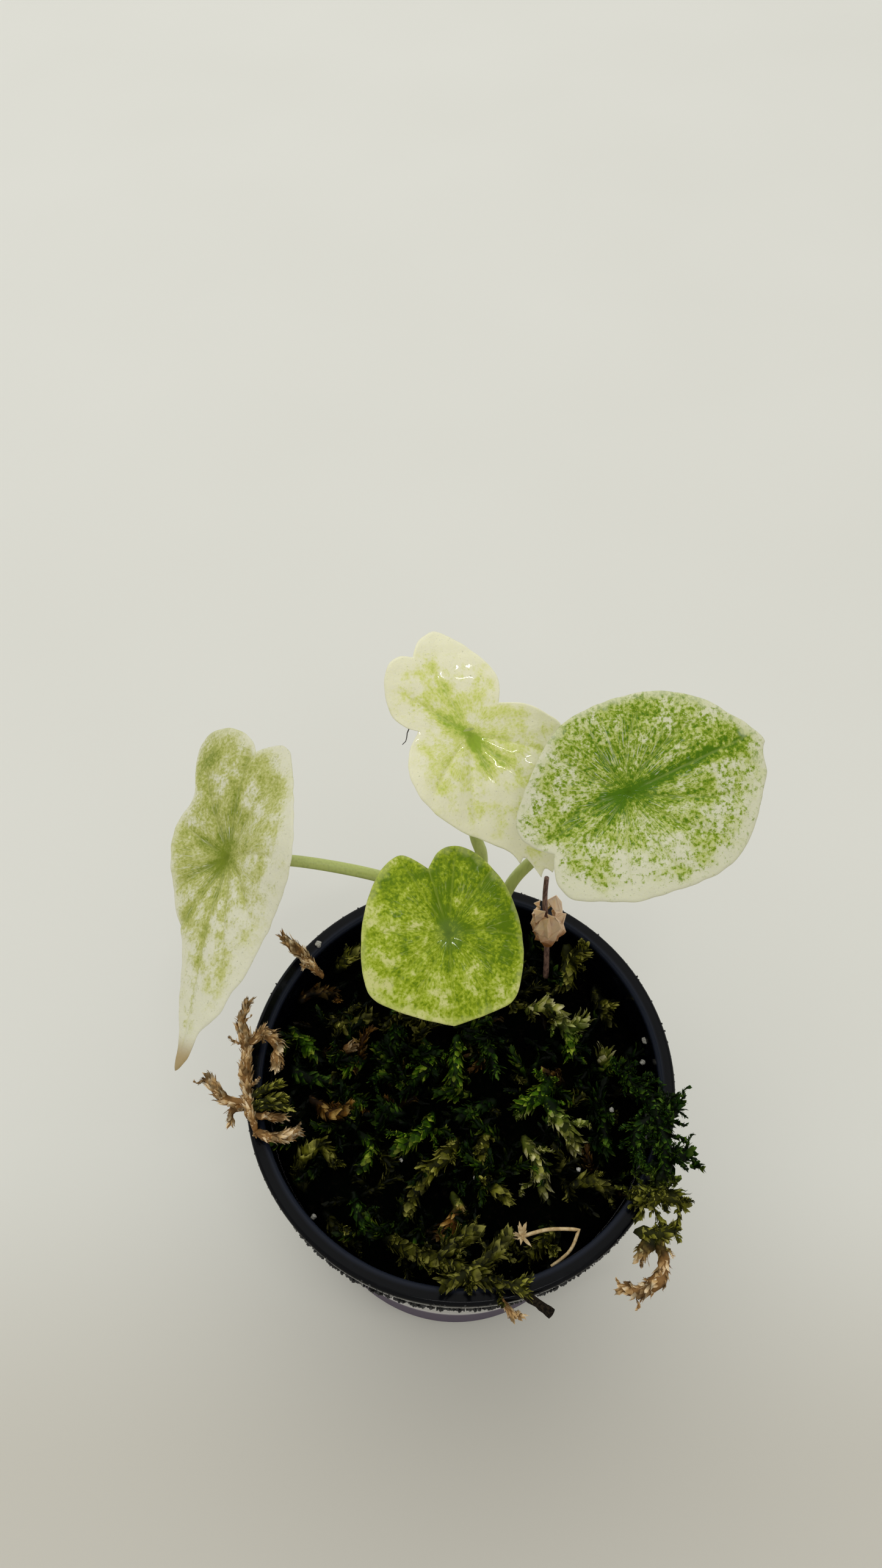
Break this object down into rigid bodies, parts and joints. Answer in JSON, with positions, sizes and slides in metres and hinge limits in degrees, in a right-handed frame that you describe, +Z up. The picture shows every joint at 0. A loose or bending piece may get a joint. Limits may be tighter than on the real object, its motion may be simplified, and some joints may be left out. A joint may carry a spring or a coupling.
{
  "type": "potted alocasia",
  "caption": "Young variegated alocasia with shield-shaped leaves on thin stems, growing in live moss in a round black nursery pot.",
  "frame": {"origin": "centre of the pot's base, on the surface that the pot stands on", "axes": "+Z up from the base to the leaves; the picture is taken from -Y and above, with +X to its right"},
  "size_m": [0.1094, 0.1021, 0.1583],
  "materials": {
    "pot_plastic": "glossy black moulded plastic",
    "potting_mix": "rough damp bark",
    "crown": "matt skin",
    "petiole": "smooth olive green",
    "leaf_front": "satin, lime green with a cream edge",
    "leaf_right": "satin, cream speckled with green",
    "leaf_back": "glossy, pale cream",
    "leaf_left": "satin, pale cream",
    "dried_stalk": "dry and brown",
    "papery_scale": "thin and dry",
    "moss_dark": "matt",
    "moss_green": "matt",
    "moss_olive": "matt",
    "moss_brown": "matt",
    "moss_tan": "matt",
    "moss_pale": "matt",
    "twig": "rough bark",
    "straw": "dry and pale"
  },
  "bodies": {
    "root": {"blade_back": "leaf_back", "blade_front": "leaf_front", "blade_left": "leaf_left", "blade_right": "leaf_right", "crown": "crown", "dried_stalk": "dried_stalk", "moss_back_left": "moss_olive", "moss_behind": "moss_dark", "moss_behind_left": "moss_dark", "moss_behind_right": "moss_green", "moss_by_stalk": "moss_olive", "moss_centre": "moss_green", "moss_centre_left": "moss_green", "moss_centre_right": "moss_dark", "moss_edge_left": "moss_dark", "moss_far_right": "moss_dark", "moss_fill_left": "moss_green", "moss_front_right": "moss_olive", "moss_hook": "moss_olive", "moss_leafy": "moss_olive", "moss_left_fork": "moss_olive", "moss_left_green": "moss_dark", "moss_left_lower": "moss_green", "moss_left_middle": "moss_dark", "moss_left_star": "moss_tan", "moss_left_upper": "moss_green", "moss_long_green": "moss_dark", "moss_loop": "moss_olive", "moss_lower_left": "moss_dark", "moss_middle": "moss_olive", "moss_middle_left": "moss_green", "moss_middle_right": "moss_dark", "moss_pale_star": "moss_pale", "moss_pale_strand": "moss_pale", "moss_pale_tuft": "moss_pale", "moss_right_centre": "moss_green", "moss_right_inner": "moss_dark", "moss_right_lower": "moss_olive", "moss_right_upper": "moss_olive", "moss_rim_back_left": "moss_tan", "moss_rim_front": "moss_olive", "moss_rim_left": "moss_tan", "moss_rim_right": "moss_dark", "moss_rim_right_tail": "moss_brown", "moss_rust": "moss_brown", "moss_rust_flake": "moss_brown", "moss_yellow": "moss_brown", "papery_scale": "papery_scale", "petiole_back": "petiole", "petiole_front": "petiole", "petiole_left": "petiole", "petiole_right": "petiole", "pot": "pot_plastic", "potting_mix": "potting_mix", "straw": "straw", "twig": "twig"}
  },
  "joints": []
}
